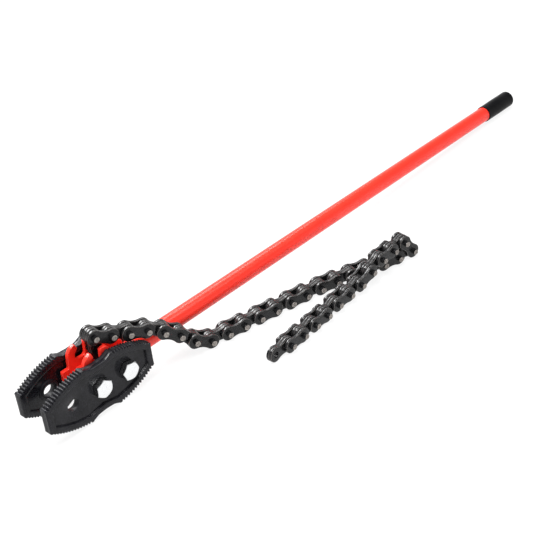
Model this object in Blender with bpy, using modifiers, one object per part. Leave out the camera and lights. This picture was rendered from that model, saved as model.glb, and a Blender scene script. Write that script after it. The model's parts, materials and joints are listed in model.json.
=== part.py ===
"""Chain pipe wrench with double-ended jaws, lying on a floor with its chain run out and folded back.

Metres, +Z up, +X along the handle toward the grip. The wrench's own frame has its origin on the centre
bolt's axis, midway between the jaws. The chain's links are each placed in the link before.
"""

import bmesh
import bpy
from math import asin, atan2, cos, degrees, hypot, pi, radians, sin, sqrt, tan
from mathutils import Matrix, Vector

MM = 0.001

# Clearances between neighbouring pieces
FIT = 0.3 * MM
BOLT_PLAY = 0.8 * MM
PIN_PLAY = 0.55 * MM
SIDE_PLAY = 1.6 * MM

# Handle: a steel tube with a dipped grip on its far end
TUBE_DIAMETER = 32.0 * MM
TUBE_WALL = 3.6 * MM
TUBE_START = 30.0 * MM
TUBE_END = 1258.0 * MM
GRIP_LENGTH = 106.0 * MM
GRIP_WALL = 1.6 * MM
GRIP_END_WALL = 7.0 * MM

# Head: two profiled cheeks, one each side of the tube
CHEEK_THICKNESS = 7.0 * MM
CHEEK_GAP = TUBE_DIAMETER + 2 * FIT
SPACER_DIAMETER = 36.0 * MM
ANCHOR = (27.0 * MM, TUBE_DIAMETER / 2 + 22.5 * MM)
# Corners of a cheek's outline in millimetres, as x, z and the corner's radius
CHEEK_OUTLINE = (
    (-30, -21, 5),
    (92, -21, 12),
    (92, 15, 8),
    (60, 37, 14),
    (43, 45, 8),
    (31, 59, 8),
    (19.5, 59, 5),
    (13.5, 29, 5),
    (-1, 30, 5),
    (0, 42, 3),
    (6.5, 47.5, 2.5),
    (2.5, 58, 3),
    (-14, 51, 20),
    (-16.5, 22, 2),
    (-30, 22, 2.5),
)

# Jaws: toothed plates, reversible end for end
JAW_THICKNESS = 15.0 * MM
JAW_LENGTH = 213.0 * MM
JAW_END_HEIGHT = 42.5 * MM
HIP = (28.0 * MM, 50.0 * MM)
WAIST_FOOT = (17.0 * MM, 45.5 * MM)
WAIST_DIP = 1.5 * MM
ARC_RISE = 5.5 * MM
TEETH = 15
TOOTH_DEPTH = 3.0 * MM
RIM = 13.0 * MM
OUTER_RECESS = 4.0 * MM
INNER_RECESS = 3.0 * MM
BOSS_HEIGHT = 0.9 * MM
BOSS_DIAMETER = 36.0 * MM

# Bolts through jaws and cheeks, at the centre and one pitch toward the grip; the other hole is spare
BOLT_PITCH = 55.0 * MM
BOLT_DIAMETER = 19.0 * MM
HEX_ACROSS_FLATS = 28.6 * MM
HEAD_HEIGHT = 11.0 * MM
NUT_HEIGHT = 16.0 * MM
WASHER_DIAMETER = 34.0 * MM
WASHER_THICKNESS = 3.0 * MM
BOLT_END = 3.0 * MM
HEX_TURN = (4.0, -20.0)

# Chain: pairs of inner plates between pairs of outer plates, on pins that stand out at both sides
LINKS = 33
PITCH = 32.8 * MM
PLATE_HEIGHT = 27.0 * MM
WAIST_HEIGHT = 20.5 * MM
INNER_WIDTH = 10.8 * MM
OUTER_PLATE = 5.4 * MM
PIN_DIAMETER = 10.0 * MM
PIN_LENGTH = 39.6 * MM
ANCHOR_OFFSET = -2.0 * MM
# The chain's course: a number of links, their heading from +X and their climb, in degrees. A link that
# would pass through the floor lies down to it instead.
COURSE = (
    (1, -4, 95),
    (1, -8, -24),
    (1, -12, -20),
    (1, -14, -18),
    (1, -18, -30),
    (1, -19, -36),
    (1, -19, -45),
    (1, -16, -35),
    (6, -14, 0),
    (1, -16, 0),
    (1, -18, 0),
    (1, -21, 0),
    (1, -24, 0),
    (1, -21, 0),
    (1, -17, 0),
    (1, -13, 0),
    (1, -9, 127),
    (1, -5, 182),
    (1, -1, 182),
    (1, 0, 195),
    (1, -1, 197),
    (2, 0, 183),
    (5, 2, 184),
)

FINISHES = {
    "red_enamel": ((1.0, 0.062, 0.03), 0.28, 0.0),
    "black_enamel": ((0.045, 0.045, 0.05), 0.42, 0.0),
    "black_oxide": ((0.05, 0.05, 0.052), 0.36, 0.6),
    "bright_zinc": ((0.82, 0.83, 0.84), 0.3, 0.9),
    "grip_vinyl": ((0.012, 0.012, 0.013), 0.4, 0.0),
}


def collection(name):
    made = bpy.data.collections.new(name)
    bpy.context.scene.collection.children.link(made)
    return made


def clear_scene():
    for obj in list(bpy.data.objects):
        bpy.data.objects.remove(obj, do_unlink=True)


def material(name, finish):
    """A Principled material of its own for one piece."""
    colour, roughness, metallic = FINISHES[finish]
    made = bpy.data.materials.new(name)
    made.use_nodes = True
    shader = made.node_tree.nodes["Principled BSDF"]
    shader.inputs["Base Color"].default_value = (*colour, 1.0)
    shader.inputs["Roughness"].default_value = roughness
    shader.inputs["Metallic"].default_value = metallic
    made.diffuse_color = (*colour, 1.0)
    return made


def empty(name, parent=None):
    obj = bpy.data.objects.new(name, None)
    PARTS.objects.link(obj)
    obj.parent = parent
    return obj


def piece(name, mesh, finish, parent, location=(0, 0, 0)):
    """A named piece of the wrench, with its own material on the object."""
    obj = bpy.data.objects.new(name, mesh)
    PARTS.objects.link(obj)
    if not mesh.materials:
        mesh.materials.append(None)
    obj.material_slots[0].link = "OBJECT"
    obj.material_slots[0].material = material(name, finish)
    obj.parent = parent
    obj.location = location
    mesh.shade_smooth()
    mesh.set_sharp_from_angle(angle=radians(35))
    return obj


def tool(name, mesh, parent=None, location=(0, 0, 0)):
    """A helper solid that a Boolean takes."""
    obj = bpy.data.objects.new(name, mesh)
    TOOLS.objects.link(obj)
    obj.parent = parent
    obj.location = location
    obj.hide_render = True
    obj.display_type = "WIRE"
    return obj


def boolean(obj, operation, other):
    modifier = obj.modifiers.new(other.name, "BOOLEAN")
    modifier.operation = operation
    modifier.solver = "EXACT"
    modifier.object = other


def baked(obj):
    """The evaluated mesh of an object with its modifiers, as a mesh of its own; the object is removed."""
    graph = bpy.context.evaluated_depsgraph_get()
    mesh = bpy.data.meshes.new_from_object(obj.evaluated_get(graph), depsgraph=graph)
    bpy.data.objects.remove(obj, do_unlink=True)
    return mesh


def welded(mesh):
    made = bmesh.new()
    made.from_mesh(mesh)
    bmesh.ops.remove_doubles(made, verts=made.verts, dist=1e-6)
    bmesh.ops.dissolve_limit(made, angle_limit=radians(0.1), verts=made.verts, edges=made.edges)
    bmesh.ops.recalc_face_normals(made, faces=made.faces)
    made.to_mesh(mesh)
    made.free()
    return mesh


def slab(name, outline, thickness):
    """A flat outline of x, z points, extruded by its thickness across Y about Y = 0."""
    curve = bpy.data.curves.new(name, "CURVE")
    curve.dimensions = "2D"
    curve.fill_mode = "BOTH"
    curve.extrude = thickness / 2
    spline = curve.splines.new("POLY")
    spline.points.add(len(outline) - 1)
    for point, (x, z) in zip(spline.points, outline):
        point.co = (x, z, 0, 1)
    spline.use_cyclic_u = True
    obj = bpy.data.objects.new(name, curve)
    TOOLS.objects.link(obj)
    mesh = welded(baked(obj))
    bpy.data.curves.remove(curve)
    mesh.transform(Matrix.Rotation(pi / 2, 4, "X"))
    mesh.name = name
    return mesh


def rods(name, centres, radius, length, sides, turn=0.0, far_radius=None):
    """Rods along Y about Y = 0 at the given x, z places, as one mesh."""
    made = bmesh.new()
    for x, z in centres:
        place = Matrix.Translation((x, 0, z)) @ Matrix.Rotation(pi / 2, 4, "X") @ Matrix.Rotation(turn, 4, "Z")
        bmesh.ops.create_cone(
            made,
            cap_ends=True,
            segments=sides,
            radius1=far_radius or radius,
            radius2=radius,
            depth=length,
            matrix=place,
        )
    mesh = bpy.data.meshes.new(name)
    made.to_mesh(mesh)
    made.free()
    return mesh


def turned(name, profile, steps, closed):
    """A profile of axial place and radius, turned about X. It runs down its outer side, from +X to -X."""
    mesh = bpy.data.meshes.new(name)
    edges = [(i, i + 1) for i in range(len(profile) - 1)]
    if closed:
        edges.append((len(profile) - 1, 0))
    mesh.from_pydata([(radius, 0, place) for place, radius in profile], edges, [])
    obj = bpy.data.objects.new(name, mesh)
    TOOLS.objects.link(obj)
    screw = obj.modifiers.new("turn", "SCREW")
    screw.steps = steps
    screw.render_steps = steps
    screw.use_merge_vertices = True
    screw.merge_threshold = 1e-5
    made = baked(obj)
    bpy.data.meshes.remove(mesh)
    made.transform(Matrix.Rotation(pi / 2, 4, "Y"))
    made.name = name
    return made


def rounded(corners, scale, step=24.0):
    """The closed outline through the corners (x, z, radius), each rounded by an arc of its own radius."""
    outline = []
    count = len(corners)
    for i, (x, z, radius) in enumerate(corners):
        here = Vector((x, z))
        back = (Vector(corners[i - 1][:2]) - here).normalized()
        ahead = (Vector(corners[(i + 1) % count][:2]) - here).normalized()
        corner = back.angle(ahead)
        reach = radius / tan(corner / 2)
        centre = here + (back + ahead).normalized() * (radius / sin(corner / 2))
        start = here + back * reach - centre
        sweep = start.angle_signed(here + ahead * reach - centre)
        parts = max(1, round(abs(degrees(sweep)) / step))
        for k in range(parts + 1):
            turn = Matrix.Rotation(-sweep * k / parts, 2)
            outline.append((centre + turn @ start) * scale)
    return [tuple(point) for point in outline]


def offset(outline, distance):
    """The closed outline moved inward by a distance, mitred at its corners. It runs anticlockwise."""
    moved = []
    for i, point in enumerate(outline):
        here = Vector(point)
        before = (here - Vector(outline[i - 1])).normalized()
        after = (Vector(outline[(i + 1) % len(outline)]) - here).normalized()
        inward = Vector((-before.y - after.y, before.x + after.x)).normalized()
        share = inward.dot(Vector((-before.y, before.x)))
        moved.append(tuple(here + inward * (distance / share)))
    return moved


def arc_frame(start, end, rise):
    """Centre, radius and end angles of the arc from start to end that stands out by rise from its chord."""
    chord = hypot(end[0] - start[0], end[1] - start[1])
    radius = (chord / 2) ** 2 / (2 * rise) + rise / 2
    middle = Vector(((start[0] + end[0]) / 2, (start[1] + end[1]) / 2))
    along = (Vector(end) - Vector(start)).normalized()
    centre = middle + Vector((-along.y, along.x)) * (radius - rise)
    first = atan2(start[1] - centre.y, start[0] - centre.x)
    last = atan2(end[1] - centre.y, end[0] - centre.x)
    return centre, radius, first, last


def toothed_arc(teeth):
    """One quarter's toothed arc, from the jaw's end at +X up to its hip, as x, z points."""
    centre, radius, first, last = arc_frame((JAW_LENGTH / 2, JAW_END_HEIGHT / 2), HIP, ARC_RISE)
    if not teeth:
        shares = [(k / 6, 0.0) for k in range(7)]
    else:
        shares = [(0.0, 0.0)]
        for i in range(TEETH):
            if i:
                shares.append((i / TEETH, TOOTH_DEPTH))
            shares.append(((i + 0.34) / TEETH, 0.0))
            shares.append(((i + 0.66) / TEETH, 0.0))
        shares.append((1.0, 0.0))
    points = []
    for share, depth in shares:
        angle = first + (last - first) * share
        points.append((centre.x + (radius - depth) * cos(angle), centre.y + (radius - depth) * sin(angle)))
    return points


def jaw_outline(teeth):
    """The jaw's outline, anticlockwise: four toothed arcs, and a shallow waist above and below."""
    quarter = toothed_arc(teeth)
    foot_x, foot_z = WAIST_FOOT
    waist = [(foot_x, foot_z), (foot_x / 2, foot_z - 0.75 * WAIST_DIP), (0.0, foot_z - WAIST_DIP)]
    if not teeth:
        waist = waist[-1:]
    half = quarter + waist + [(-x, z) for x, z in reversed(waist[:-1])] + [(-x, z) for x, z in reversed(quarter)]
    return half + [(-x, -z) for x, z in half]


def inner_face():
    """Distance from the middle plane to a jaw's inner face."""
    return CHEEK_GAP / 2 + CHEEK_THICKNESS + FIT + BOSS_HEIGHT


def outer_field():
    """Distance from the middle plane to the floor of a jaw's outer recess."""
    return inner_face() + JAW_THICKNESS - OUTER_RECESS


def jaw(name, side, wrench):
    """A jaw: a toothed rim round a thinner web, with a boss on the inner face round each of three holes."""
    places = [(-BOLT_PITCH, 0), (0, 0), (BOLT_PITCH, 0)]
    middle = side * (inner_face() + JAW_THICKNESS / 2)
    obj = piece(name, slab(name, jaw_outline(True), JAW_THICKNESS), "black_enamel", wrench, (0, middle, 0))
    field = offset(jaw_outline(False), RIM)
    for label, depth, face in (("outer", OUTER_RECESS, 1), ("inner", INNER_RECESS, -1)):
        cutter = slab(f"{name}_{label}_recess", field, 2 * depth)
        place = (0, middle + side * face * JAW_THICKNESS / 2, 0)
        boolean(obj, "DIFFERENCE", tool(f"{name}_{label}_recess", cutter, wrench, place))
    length = INNER_RECESS + BOSS_HEIGHT + 1 * MM
    bosses = rods(f"{name}_bosses", places, BOSS_DIAMETER / 2, length, 20)
    place = (0, side * (inner_face() - BOSS_HEIGHT + length / 2), 0)
    boolean(obj, "UNION", tool(f"{name}_bosses", bosses, wrench, place))
    holes = rods(f"{name}_holes", places, BOLT_DIAMETER / 2 + BOLT_PLAY, 4 * JAW_THICKNESS, 20)
    boolean(obj, "DIFFERENCE", tool(f"{name}_holes", holes, wrench, (0, middle, 0)))
    return obj


def cheek(name, side, wrench):
    """A cheek: horn, pin notch and anchor lug on top, pierced for the bolts and the anchor pin."""
    middle = side * (CHEEK_GAP + CHEEK_THICKNESS) / 2
    outline = rounded(CHEEK_OUTLINE, MM)
    obj = piece(name, slab(name, outline, CHEEK_THICKNESS), "red_enamel", wrench, (0, middle, 0))
    bevel = obj.modifiers.new("edges", "BEVEL")
    bevel.width = 0.8 * MM
    bevel.segments = 1
    bevel.limit_method = "ANGLE"
    bevel.angle_limit = radians(60)
    bolts = rods(f"{name}_bolt_holes", [(0, 0), (BOLT_PITCH, 0)], BOLT_DIAMETER / 2 + BOLT_PLAY, 30 * MM, 20)
    boolean(obj, "DIFFERENCE", tool(f"{name}_bolt_holes", bolts, wrench, (0, middle, 0)))
    anchor = rods(f"{name}_pin_hole", [ANCHOR], PIN_DIAMETER / 2 + FIT, 30 * MM, 12)
    boolean(obj, "DIFFERENCE", tool(f"{name}_pin_hole", anchor, wrench, (0, middle, 0)))
    return obj


def handle(wrench):
    """The tube, pierced near its end for the second bolt, and the grip over its far end."""
    outer, inner = TUBE_DIAMETER / 2, TUBE_DIAMETER / 2 - TUBE_WALL
    profile = [(TUBE_END, outer), (TUBE_START, outer), (TUBE_START, inner), (TUBE_END, inner)]
    tube = piece("handle_tube", turned("handle_tube", profile, 28, True), "red_enamel", wrench)
    hole = rods("handle_bolt_hole", [(BOLT_PITCH, 0)], BOLT_DIAMETER / 2 + BOLT_PLAY, 2 * TUBE_DIAMETER, 20)
    boolean(tube, "DIFFERENCE", tool("handle_bolt_hole", hole, wrench))

    bore = outer + FIT
    radius = bore + GRIP_WALL
    seat = TUBE_END + FIT
    end = seat + GRIP_END_WALL
    mouth = end - GRIP_LENGTH
    dome = [(end - radius * 0.45 * (1 - cos(t)), radius * sin(t)) for t in (0.5, 0.95, 1.3)]
    shoulder = [(end - radius * 0.45, radius)]
    lip = [(mouth + 1 * MM, radius), (mouth, radius - 0.8 * MM), (mouth, bore), (seat, bore), (seat, 0)]
    profile = [(end, 0)] + dome + shoulder + lip
    piece("end_grip", turned("end_grip", profile, 24, False), "grip_vinyl", wrench)
    return radius, end - radius * 0.45


def hexagon(name, height, turn, hole):
    """A hexagon along Y with its outer corners chamfered, as a mesh about Y = 0. Its outer end is at -Y."""
    corner = HEX_ACROSS_FLATS / sqrt(3)
    mesh = rods(name, [(0, 0)], corner, height, 6, turn)
    obj = tool(name, mesh)
    cone = rods(f"{name}_chamfer", [(0, 0)], HEX_ACROSS_FLATS * 0.48, height, 24, 0, HEX_ACROSS_FLATS * 0.48 + 1.8 * height)
    chamfer = tool(f"{name}_chamfer", cone)
    boolean(obj, "INTERSECT", chamfer)
    if hole:
        bore = tool(f"{name}_bore", rods(f"{name}_bore", [(0, 0)], hole, 2 * height, 20))
        boolean(obj, "DIFFERENCE", bore)
    made = baked(obj)
    bpy.data.objects.remove(chamfer, do_unlink=True)
    if hole:
        bpy.data.objects.remove(bore, do_unlink=True)
    return made


def fasteners(wrench):
    """Two bolts from the front, each with a washer and a nut at the back, and the spacer on the first."""
    seat = outer_field() + FIT
    nut_face = seat + WASHER_THICKNESS + FIT
    tail = nut_face + NUT_HEIGHT + BOLT_END
    shank = seat + tail + 1 * MM
    for i, (label, turn) in enumerate(zip(("centre", "second"), HEX_TURN)):
        x = i * BOLT_PITCH
        mesh = hexagon(f"{label}_bolt", HEAD_HEIGHT, radians(turn), 0)
        bolt = piece(f"{label}_bolt", mesh, "bright_zinc", wrench, (x, -seat - HEAD_HEIGHT / 2, 0))
        rod = rods(f"{label}_shank", [(0, 0)], BOLT_DIAMETER / 2, shank, 20)
        place = (x, tail - shank / 2, 0)
        boolean(bolt, "UNION", tool(f"{label}_shank", rod, wrench, place))
        mesh = hexagon(f"{label}_nut", NUT_HEIGHT, radians(30 - turn), BOLT_DIAMETER / 2 + FIT)
        mesh.transform(Matrix.Rotation(pi, 4, "Z"))
        piece(f"{label}_nut", mesh, "bright_zinc", wrench, (x, nut_face + NUT_HEIGHT / 2, 0))
        half, bore, rim = WASHER_THICKNESS / 2, BOLT_DIAMETER / 2 + FIT, WASHER_DIAMETER / 2
        mesh = turned(f"{label}_washer", [(half, rim), (-half, rim), (-half, bore), (half, bore)], 20, True)
        mesh.transform(Matrix.Rotation(pi / 2, 4, "Z"))
        piece(f"{label}_washer", mesh, "bright_zinc", wrench, (x, seat + half, 0))
    half, bore = CHEEK_GAP / 2 - FIT, BOLT_DIAMETER / 2 + BOLT_PLAY
    rim = SPACER_DIAMETER / 2
    mesh = turned("spacer_sleeve", [(half, rim), (-half, rim), (-half, bore), (half, bore)], 20, True)
    mesh.transform(Matrix.Rotation(pi / 2, 4, "Z"))
    piece("spacer_sleeve", mesh, "red_enamel", wrench)
    length = CHEEK_GAP + 2 * CHEEK_THICKNESS
    mesh = rods("anchor_pin", [(0, 0)], PIN_DIAMETER / 2, length, 12)
    piece("anchor_pin", mesh, "black_oxide", wrench, (ANCHOR[0], 0, ANCHOR[1]))


def link_outline():
    """A link plate: round at both pins, waisted between. Its first pin is at the origin, its second at +X."""
    radius = PLATE_HEIGHT / 2
    end = [(radius * cos(radians(a)), radius * sin(radians(a))) for a in range(60, 301, 30)]
    low = [(PITCH * 0.4, -WAIST_HEIGHT / 2), (PITCH * 0.6, -WAIST_HEIGHT / 2)]
    return end + low + [(PITCH - x, -z) for x, z in end] + [(PITCH - x, -z) for x, z in low]


def inner_link_mesh():
    """Two inner plates side by side, pierced for the pins."""
    obj = tool("inner_link", slab("inner_link", link_outline(), INNER_WIDTH))
    sides = 8
    radius = (PIN_DIAMETER / 2 + PIN_PLAY) / cos(pi / sides)
    holes = tool("link_holes", rods("link_holes", [(0, 0), (PITCH, 0)], radius, 2 * INNER_WIDTH, sides))
    boolean(obj, "DIFFERENCE", holes)
    mesh = baked(obj)
    bpy.data.objects.remove(holes, do_unlink=True)
    mesh.name = "inner_link"
    return mesh


def outer_link_mesh():
    """Two outer plates on two pins that stand out beyond them at both sides."""
    reach = INNER_WIDTH / 2 + SIDE_PLAY + OUTER_PLATE / 2
    obj = tool("outer_link", slab("outer_link", link_outline(), OUTER_PLATE), None, (0, -reach, 0))
    far = tool("far_plate", slab("far_plate", link_outline(), OUTER_PLATE), None, (0, reach, 0))
    pins = tool("link_pins", rods("link_pins", [(0, 0), (PITCH, 0)], PIN_DIAMETER / 2, PIN_LENGTH, 8))
    boolean(obj, "UNION", pins)
    boolean(obj, "UNION", far)
    mesh = baked(obj)
    mesh.transform(Matrix.Translation((0, -reach, 0)))
    bpy.data.objects.remove(far, do_unlink=True)
    bpy.data.objects.remove(pins, do_unlink=True)
    mesh.name = "outer_link"
    return mesh


def chain(root, start):
    """Places the links from the anchor pin along their course, each one parented to the link before."""
    inner, outer = inner_link_mesh(), outer_link_mesh()
    ways = [(heading, climb) for count, heading, climb in COURSE for _ in range(count)]
    lowest = PLATE_HEIGHT / 2
    place, before, parent = start, Matrix.Identity(4), root
    for number in range(LINKS):
        heading, climb = ways[min(number, len(ways) - 1)]
        angle = radians(climb)
        if place.z + PITCH * sin(angle) < lowest:
            down = asin(max(-1.0, min(1.0, (place.z - lowest) / PITCH)))
            angle = -down if cos(angle) > 0 else pi + down
        turn = Matrix.Rotation(radians(heading), 4, "Z") @ Matrix.Rotation(-angle, 4, "Y")
        here = Matrix.Translation(place) @ turn
        kind, mesh = ("outer", outer) if number % 2 else ("inner", inner)
        name = f"{kind}_link_{number // 2 + 1:02d}"
        obj = piece(name, mesh, "black_oxide", parent)
        obj.matrix_local = before.inverted() @ here
        before, parent = here, obj
        place = here @ Vector((PITCH, 0, 0))


def resting_pose(grip_radius, grip_end):
    """Tilt about Y and height of the wrench's origin when the lower teeth and the grip lie on the floor."""
    outline = jaw_outline(True)
    tilt = 0.0
    for _ in range(4):
        x, depth = max(((x, -z) for x, z in outline), key=lambda p: p[1] * cos(tilt) + p[0] * sin(tilt))
        tilt = atan2(depth - grip_radius, grip_end - x)
    return tilt, depth * cos(tilt) + x * sin(tilt)


def centre_on_floor(root):
    """Moves everything so that the origin is at the middle of the footprint."""
    bpy.context.view_layer.update()
    corners = []
    for obj in PARTS.objects:
        if obj.type == "MESH":
            corners += [obj.matrix_world @ Vector(corner) for corner in obj.bound_box]
    low = [min(corner[i] for corner in corners) for i in (0, 1)]
    high = [max(corner[i] for corner in corners) for i in (0, 1)]
    root.location = (-(low[0] + high[0]) / 2, -(low[1] + high[1]) / 2, 0)


def build():
    root = empty("wrench_on_floor")
    wrench = empty("wrench_frame", root)
    grip_radius, grip_end = handle(wrench)
    tilt, height = resting_pose(grip_radius, grip_end)
    wrench.rotation_euler = (0, tilt, 0)
    wrench.location = (0, 0, height)
    jaw("front_jaw", -1, wrench)
    jaw("rear_jaw", 1, wrench)
    cheek("front_cheek", -1, wrench)
    cheek("rear_cheek", 1, wrench)
    fasteners(wrench)
    anchor = Matrix.Rotation(tilt, 3, "Y") @ Vector((ANCHOR[0], 0, ANCHOR[1])) + Vector((0, ANCHOR_OFFSET, height))
    chain(root, anchor)
    centre_on_floor(root)


clear_scene()
PARTS = collection("chain_pipe_wrench")
TOOLS = collection("chain_pipe_wrench_cutters")
build()
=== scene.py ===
"""Looks of a chain pipe wrench: enamelled handle and cheeks, black toothed jaws, zinc bolts, a plate chain.

Every surface but the cheeks' is a grid of points worked out with numpy in the wrench's own axes, in metres:
x along the handle from the centre bolt to the grip, y across the head to the nuts, z up. A link's points are
worked out from its first pin. The cheeks are filled outlines with rounded edges.
"""

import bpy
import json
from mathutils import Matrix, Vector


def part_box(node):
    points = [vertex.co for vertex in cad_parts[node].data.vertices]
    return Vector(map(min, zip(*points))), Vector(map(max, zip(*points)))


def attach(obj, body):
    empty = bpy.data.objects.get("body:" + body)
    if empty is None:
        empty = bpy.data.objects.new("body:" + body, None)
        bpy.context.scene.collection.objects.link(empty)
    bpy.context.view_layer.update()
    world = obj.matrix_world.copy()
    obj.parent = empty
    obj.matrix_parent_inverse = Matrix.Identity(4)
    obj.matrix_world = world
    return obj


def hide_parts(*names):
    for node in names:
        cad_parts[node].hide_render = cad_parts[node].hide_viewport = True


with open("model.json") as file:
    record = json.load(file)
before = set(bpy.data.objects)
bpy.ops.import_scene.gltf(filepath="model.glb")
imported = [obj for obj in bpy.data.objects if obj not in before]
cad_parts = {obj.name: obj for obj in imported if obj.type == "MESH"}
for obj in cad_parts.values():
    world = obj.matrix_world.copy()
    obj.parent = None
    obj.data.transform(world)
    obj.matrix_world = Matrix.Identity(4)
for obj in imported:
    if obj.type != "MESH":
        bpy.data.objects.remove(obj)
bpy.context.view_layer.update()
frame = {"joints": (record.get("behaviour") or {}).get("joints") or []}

import json
import math

import bmesh
import bpy
import numpy as np
from bpy.props import FloatProperty, FloatVectorProperty, IntProperty, PointerProperty
from mathutils import Euler, Matrix, Vector

bl_info = {
    "name": "Chain Pipe Wrench",
    "version": (1, 0, 0),
    "blender": (4, 5, 0),
    "location": "View3D > Sidebar > Wrench",
    "description": "Builds the surfaces, finishes and stage of a chain pipe wrench",
    "category": "Object",
}

MM = 0.001
# Clearance between neighbouring pieces, and the distance at which two points become one
FIT = 0.3 * MM
MERGE = 2e-6


def middle(node):
    """The middle of a node's box."""
    low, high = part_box(node)
    return (low + high) / 2


def head_axes():
    """The wrench's own axes as a matrix.

    The bolts' washers give the handle's direction and the sleeve gives the middle plane.
    """
    first, second = middle("centre_washer"), middle("second_washer")
    along = Vector((second.x - first.x, 0, second.z - first.z)).normalized()
    up = Vector((-along.z, 0, along.x))
    place = Vector((first.x, middle("spacer_sleeve").y, first.z))
    matrix = Matrix((along, (0, 1, 0), up)).transposed().to_4x4()
    matrix.translation = place
    return matrix


def link_axes(centre, far_pin, pitch):
    """A link's axes at its first pin: from its middle to its far pin, and level across."""
    along = (far_pin - centre).normalized()
    across = Vector((0, 0, 1)).cross(along).normalized()
    matrix = Matrix((along, across, along.cross(across))).transposed().to_4x4()
    matrix.translation = centre - along * (pitch / 2)
    return matrix


HEAD = head_axes()


def measure(name, description, millimetres):
    """A length of the panel, given in millimetres."""
    return FloatProperty(name=name, description=description, default=millimetres * MM, unit="LENGTH")


def amount(name, description, value):
    """A plain number of the panel."""
    return FloatProperty(name=name, description=description, default=value)


def colour(name, description, value):
    """A linear colour of the panel."""
    return FloatVectorProperty(
        name=name, description=description, subtype="COLOR", size=3, min=0, max=1, default=value
    )


class HandleSizes(bpy.types.PropertyGroup):
    tube_radius: measure("Tube radius", "Outer radius of the handle tube", 16)
    tube_wall: measure("Tube wall", "Wall of the handle tube", 3.6)
    tube_start: measure("Tube start", "Near end of the tube, from the centre bolt", 30)
    tube_end: measure("Tube end", "Far end of the tube, from the centre bolt", 1258)
    grip_length: measure("Grip length", "Length of the dipped grip", 106)
    grip_radius: measure("Grip radius", "Outer radius of the grip", 17.8)
    grip_end: measure("Grip end", "Far end of the grip, from the centre bolt", 1265.3)


class JawSizes(bpy.types.PropertyGroup):
    length: measure("Length", "Length of a jaw from end to end", 213)
    end_height: measure("End height", "Height of a jaw's flat end", 42.5)
    hip_x: measure("Hip place", "Where a toothed arc ends, from the centre bolt", 28)
    hip_z: measure("Hip height", "Height of the toothed arc's end", 50)
    waist: measure("Waist height", "Half height of the waist", 44)
    rise: measure("Arc rise", "How far a toothed arc stands out from its chord", 5.5)
    teeth: IntProperty(name="Teeth", description="Teeth on each of the four arcs", default=15, min=3)
    depth: measure("Tooth depth", "Depth of a tooth", 3)
    rim: measure("Rim", "Width of the raised rim", 13)
    inner: measure("Inner face", "Distance of the rim's inner face from the middle plane", 24.5)
    outer: measure("Outer face", "Distance of the rim's outer face from the middle plane", 39.5)
    outer_recess: measure("Outer recess", "Depth of the recess on the outer face", 4)
    inner_recess: measure("Inner recess", "Depth of the recess on the inner face", 3)
    boss_radius: measure("Boss radius", "Radius of the boss round each hole", 18)
    boss_height: measure("Boss height", "Height of a boss over the rim", 0.9)
    hole: measure("Hole radius", "Radius of the three holes", 10.3)
    pitch: measure("Hole pitch", "Distance between holes", 55)


class HeadSizes(bpy.types.PropertyGroup):
    cheek_inner: measure("Cheek inner face", "Distance of a cheek's inner face from the middle plane", 16.3)
    cheek: measure("Cheek thickness", "Thickness of a cheek", 7)
    cheek_edge: measure("Cheek edge", "Radius of a cheek's rounded edges", 1.1)
    anchor_x: measure("Anchor place", "Anchor pin's place along the handle", 27)
    anchor_z: measure("Anchor height", "Anchor pin's height over the bolts", 38.5)
    anchor_radius: measure("Anchor radius", "Radius of the anchor pin", 5)
    sleeve_radius: measure("Sleeve radius", "Radius of the spacer between the cheeks", 18)


class BoltSizes(bpy.types.PropertyGroup):
    radius: measure("Shank radius", "Radius of a bolt's shank", 9.5)
    flats: measure("Across flats", "Width of the hexagons", 28.6)
    head: measure("Head height", "Height of a bolt's head", 11)
    nut: measure("Nut height", "Height of a nut", 16)
    seat: measure("Seat", "Distance of the heads' seats from the middle plane", 35.8)
    washer: measure("Washer thickness", "Thickness of a washer", 3)
    thread: measure("Thread pitch", "Pitch of the thread that shows past a nut", 2.5)


class ChainSizes(bpy.types.PropertyGroup):
    pitch: measure("Pitch", "Distance between a link's pins", 32.8)
    radius: measure("End radius", "Radius of a plate's round ends", 13.44)
    waist: measure("Waist", "Half height of a plate at its waist", 10.2)
    plate: measure("Plate thickness", "Thickness of a plate", 5.4)
    seam: measure("Seam", "Gap between the two inner plates", 0.2)
    play: measure("Side play", "Gap between an inner and an outer plate", 1.6)
    edge: measure("Edge radius", "Radius of a plate's rounded edges", 0.9)
    pin_radius: measure("Pin radius", "Radius of a pin", 5)
    pin_reach: measure("Pin reach", "Half length of a pin", 19.8)
    hole: measure("Hole radius", "Radius of an inner plate's holes", 5.55)


class FinishColours(bpy.types.PropertyGroup):
    enamel: colour("Enamel", "Red enamel of the handle and the cheeks", (0.73, 0.026, 0.014))
    black: colour("Black enamel", "Black enamel of the jaws", (0.0045, 0.0045, 0.006))
    oxide: colour("Black oxide", "Oxide finish of the chain", (0.006, 0.006, 0.0065))
    steel: colour("Bare steel", "Worn steel at the edges and on the pins' ends", (0.27, 0.245, 0.225))
    zinc: colour("Zinc", "Zinc plate of the bolts", (0.95, 0.96, 0.97))
    vinyl: colour("Vinyl", "Dipped vinyl of the grip", (0.003, 0.003, 0.0035))


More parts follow.
